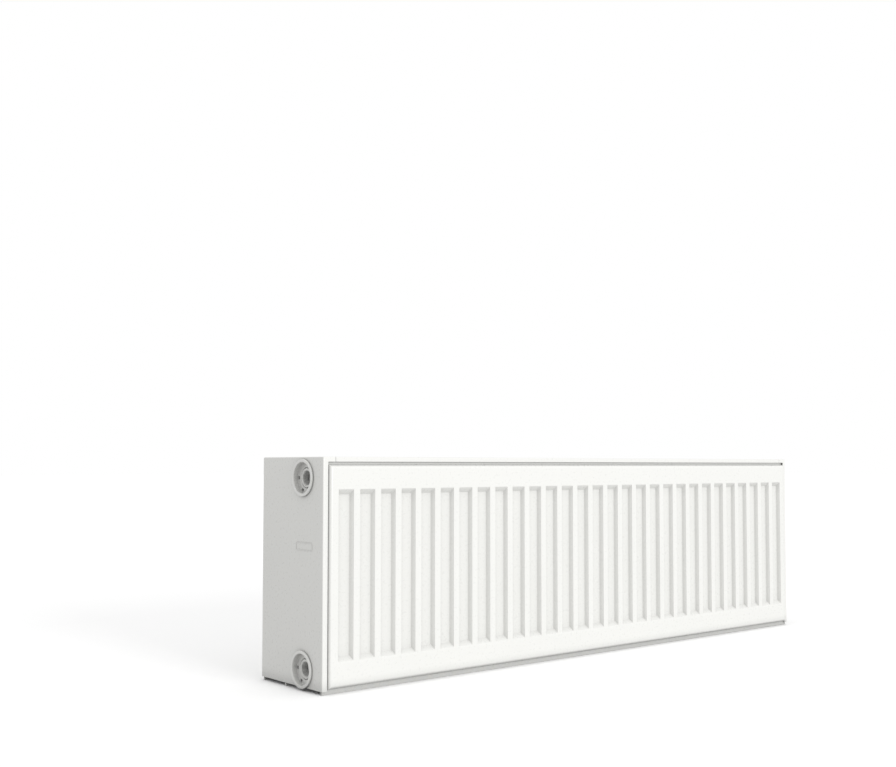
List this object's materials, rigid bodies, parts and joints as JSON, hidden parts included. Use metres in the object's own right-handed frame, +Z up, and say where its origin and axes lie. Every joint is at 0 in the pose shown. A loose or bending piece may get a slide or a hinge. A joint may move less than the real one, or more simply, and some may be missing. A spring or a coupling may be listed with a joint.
{
  "type": "compact panel radiator",
  "caption": "White steel panel radiator with grooved panels, convectors, side covers, top grille, open tappings, bleed valve and plug.",
  "frame": {"origin": "halfway along the bottom seam of the middle panel's front sheet, on the surface the radiator stands on", "axes": "+X along the length, the front face looks along -Y, +Z up"},
  "size_m": [1.0155, 0.1638, 0.3],
  "materials": {
    "white_steel": "gloss white powder coat",
    "fin_steel": "thin white dip coat",
    "white_plastic": "satin white moulding",
    "nickel": "nickel plated brass",
    "rubber": "black rubber",
    "spring_steel": "bare spring steel"
  },
  "bodies": {
    "radiator": {"front_panel_front_sheet": "white_steel", "front_panel_back_sheet": "white_steel", "middle_panel_front_sheet": "white_steel", "middle_panel_back_sheet": "white_steel", "rear_panel_front_sheet": "white_steel", "rear_panel_back_sheet": "white_steel", "convector_front": "fin_steel", "convector_middle": "fin_steel", "convector_rear": "fin_steel", "tapping_tee_left_bottom": "white_steel", "tapping_tee_left_top": "white_steel", "tapping_tee_right_bottom": "white_steel", "tapping_tee_right_top": "white_steel", "panel_connector_left_bottom": "white_steel", "panel_connector_left_top": "white_steel", "panel_connector_right_bottom": "white_steel", "panel_connector_right_top": "white_steel", "hanging_lug_left_bottom": "white_steel", "hanging_lug_left_top": "white_steel", "hanging_lug_right_bottom": "white_steel", "hanging_lug_right_top": "white_steel", "vent_body": "nickel", "vent_body_seal": "rubber", "blanking_plug": "nickel", "blanking_plug_seal": "rubber"},
    "cover_left": {"side_cover_left": "white_steel", "collar_left_bottom": "white_plastic", "collar_left_top": "white_plastic"},
    "cover_right": {"side_cover_right": "white_steel", "collar_right_bottom": "white_plastic", "collar_right_top": "white_plastic"},
    "grille": {"top_grille": "white_steel", "grille_clip_middle_left": "spring_steel", "grille_clip_middle_right": "spring_steel", "grille_clip_rear_left": "spring_steel", "grille_clip_rear_right": "spring_steel"},
    "needle": {"vent_spindle": "nickel", "vent_spindle_seal": "rubber"},
    "nozzle": {"vent_nozzle": "white_plastic"}
  },
  "joints": [
    {"name": "grille_lift", "type": "slide", "parent": "radiator", "child": "grille", "axis": [0, 0, 1], "range_m": [0, 0.06]},
    {"name": "cover_left_pull", "type": "slide", "parent": "radiator", "child": "cover_left", "axis": [-1, 0, 0], "range_m": [0, 0.06]},
    {"name": "cover_right_pull", "type": "slide", "parent": "radiator", "child": "cover_right", "axis": [1, 0, 0], "range_m": [0, 0.06]},
    {"name": "needle_turn", "type": "hinge", "parent": "radiator", "child": "needle", "pos_m": [0.4955, -0.04172, 0.273], "axis": [1, 0, 0], "range_deg": [0, 360]},
    {"name": "nozzle_swivel", "type": "hinge", "parent": "radiator", "child": "nozzle", "pos_m": [0.4955, -0.04172, 0.273], "axis": [1, 0, 0], "continuous": true}
  ]
}
